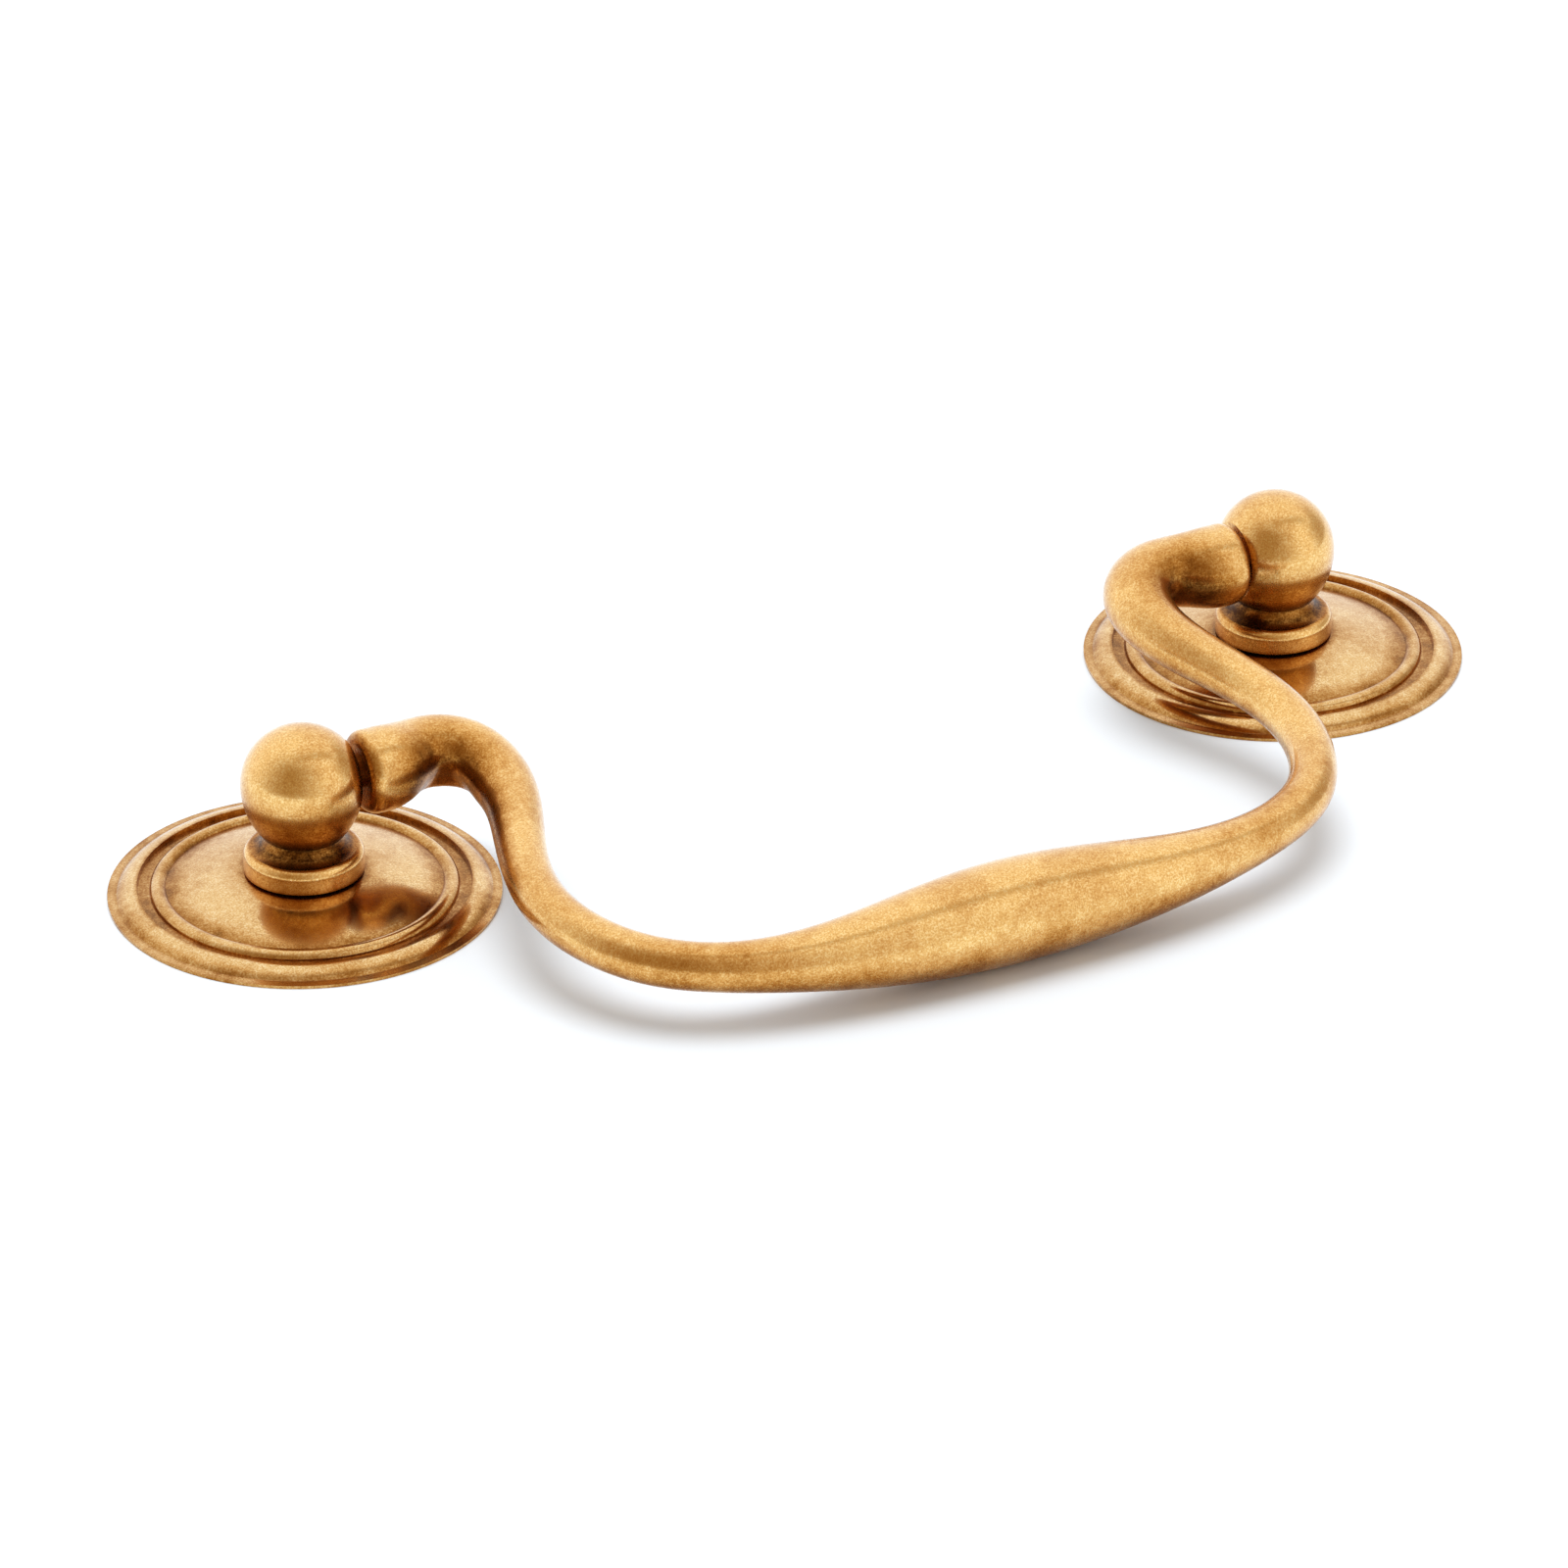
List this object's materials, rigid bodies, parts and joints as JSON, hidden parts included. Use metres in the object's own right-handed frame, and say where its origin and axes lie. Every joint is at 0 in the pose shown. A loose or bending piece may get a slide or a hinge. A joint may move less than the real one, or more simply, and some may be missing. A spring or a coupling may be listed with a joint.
{
  "type": "drop pull",
  "caption": "Swan-neck drop pull: a cast bail with a swelling grip swings between ball-headed posts on moulded round rosettes, screwed on from behind the drawer front.",
  "frame": {"origin": "midway between the two fixing holes, on the plane of the drawer front", "axes": "+X from the left hole to the right one, +Z out of the drawer front, -Y the way the bail hangs"},
  "size_m": [0.13, 0.0598, 0.0159],
  "materials": {
    "cast_brass": "aged and burnished, finely mottled",
    "turned_brass": "aged and burnished, finely mottled",
    "plate_brass": "aged, polished on the dome and dark in the grooves"
  },
  "bodies": {
    "base": {"rosette_left": "plate_brass", "rosette_right": "plate_brass", "post_left": "turned_brass", "post_right": "turned_brass"},
    "bail": {"bail": "cast_brass"}
  },
  "joints": [
    {"name": "bail_swing", "type": "hinge", "parent": "base", "child": "bail", "pos_m": [0, 0, 0.0106], "axis": [-1, 0, 0], "range_deg": [0, 160]}
  ]
}
